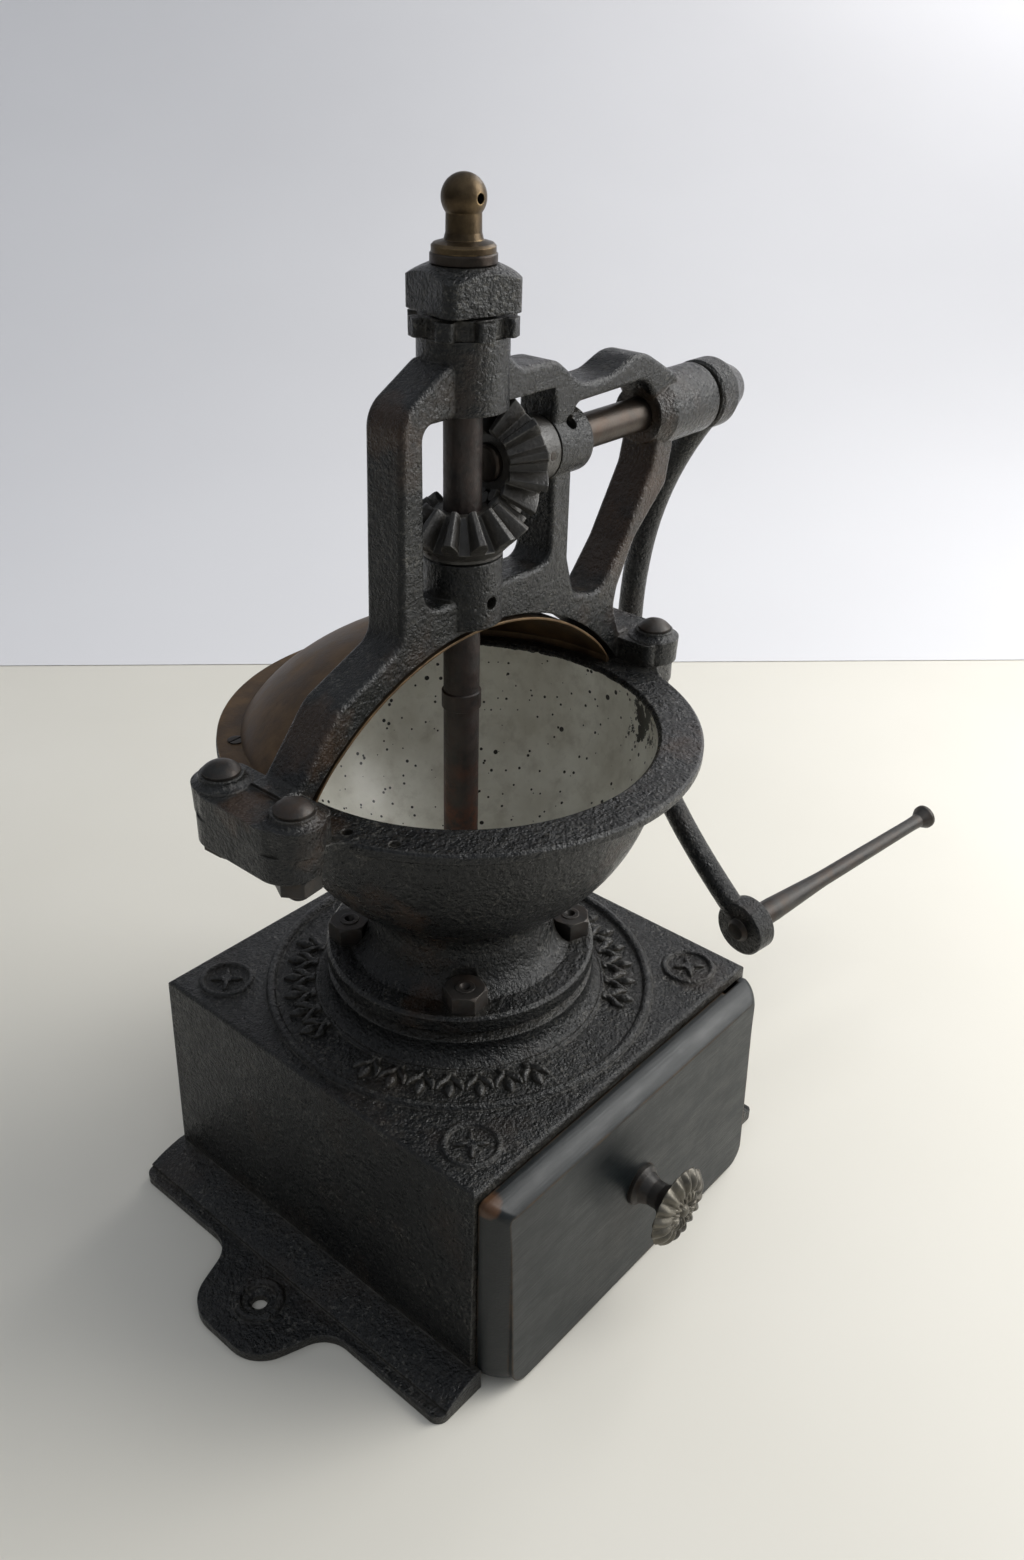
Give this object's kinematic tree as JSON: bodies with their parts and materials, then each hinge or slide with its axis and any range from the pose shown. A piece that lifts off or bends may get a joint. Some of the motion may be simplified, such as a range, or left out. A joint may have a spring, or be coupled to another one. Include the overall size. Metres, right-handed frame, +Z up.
{
  "type": "hand crank coffee mill",
  "caption": "Cast iron counter coffee mill with a hopper bowl, side crank, bevel gears, screw-adjusted conical burrs and a wooden drawer.",
  "frame": {"origin": "midway between the two lug holes, at the underside of the base, below the axis of the grinding shaft", "axes": "+X towards the crank, -Y the way the drawer opens, +Z up along the grinding shaft"},
  "size_m": [0.4494, 0.2211, 0.4283],
  "materials": {
    "black_iron": "worn black paint over fine-grained casting",
    "burr_iron": "bare hardened iron",
    "gear_iron": "oily dark iron",
    "dark_steel": "blackened steel",
    "worn_steel": "worn steel, lightly browned",
    "dark_sheet": "black painted sheet",
    "brown_brass": "aged brown brass",
    "dark_brass": "dark patina",
    "antique_brass": "antique, dull highlights",
    "black_wood": "black paint, worn brown at the edges",
    "plain_wood": "unfinished, aged"
  },
  "bodies": {
    "base": {"box_casting": "black_iron", "floor_plate": "dark_sheet", "floor_screws": "dark_steel", "hopper_casting": "black_iron", "neck_studs": "dark_steel", "neck_nuts": "dark_steel", "outer_burr": "burr_iron", "burr_screws": "dark_steel", "lower_bearing": "burr_iron", "lower_bearing_screws": "dark_steel", "bridge_casting": "black_iron", "bridge_bolts": "dark_steel", "bridge_nuts": "dark_steel", "rear_cover": "brown_brass", "cover_screws": "dark_steel"},
    "crank": {"crank_shaft": "worn_steel", "drive_gear": "gear_iron", "drive_gear_pin": "dark_steel", "crank_arm": "black_iron", "handle_spindle": "dark_steel"},
    "lift": {"thrust_washer": "worn_steel"},
    "adjuster": {"adjusting_bush": "black_iron"},
    "lock_ring": {"lock_ring": "black_iron"},
    "grinding_shaft": {"main_shaft": "worn_steel", "driven_gear": "gear_iron", "driven_gear_pin": "dark_steel", "grinding_burr": "burr_iron", "burr_pin": "dark_steel", "finial": "dark_brass"},
    "drawer": {"drawer_front": "black_wood", "drawer_side_left": "plain_wood", "drawer_side_right": "plain_wood", "drawer_back": "plain_wood", "drawer_bottom": "plain_wood", "drawer_nails": "dark_steel", "knob_stem": "dark_steel", "knob_rosette": "antique_brass", "knob_screw": "dark_steel"}
  },
  "joints": [
    {"name": "crank_spin", "type": "hinge", "parent": "base", "child": "crank", "pos_m": [0, 0, 0.33005], "axis": [1, 0, 0], "continuous": true},
    {"name": "shaft_lift", "type": "slide", "parent": "base", "child": "lift", "axis": [0, 0, 1], "range_m": [-0.000624, 0]},
    {"name": "bush_turn", "type": "hinge", "parent": "lift", "child": "adjuster", "pos_m": [0, 0, 0.39], "axis": [0, 0, 1], "range_deg": [-180, 0]},
    {"name": "shaft_spin", "type": "hinge", "parent": "lift", "child": "grinding_shaft", "pos_m": [0, 0, 0.25], "axis": [0, 0, 1], "continuous": true},
    {"name": "lock_turn", "type": "hinge", "parent": "base", "child": "lock_ring", "pos_m": [0, 0, 0.381], "axis": [0, 0, 1], "range_deg": [0, 60]},
    {"name": "drawer_slide", "type": "slide", "parent": "base", "child": "drawer", "axis": [0, -1, 0], "range_m": [0, 0.13]}
  ],
  "couplings": [
    {"joint": "shaft_spin", "follows": "crank_spin", "ratio": 1},
    {"joint": "bush_turn", "follows": "shaft_lift", "rad_per_m": 5026.6}
  ]
}
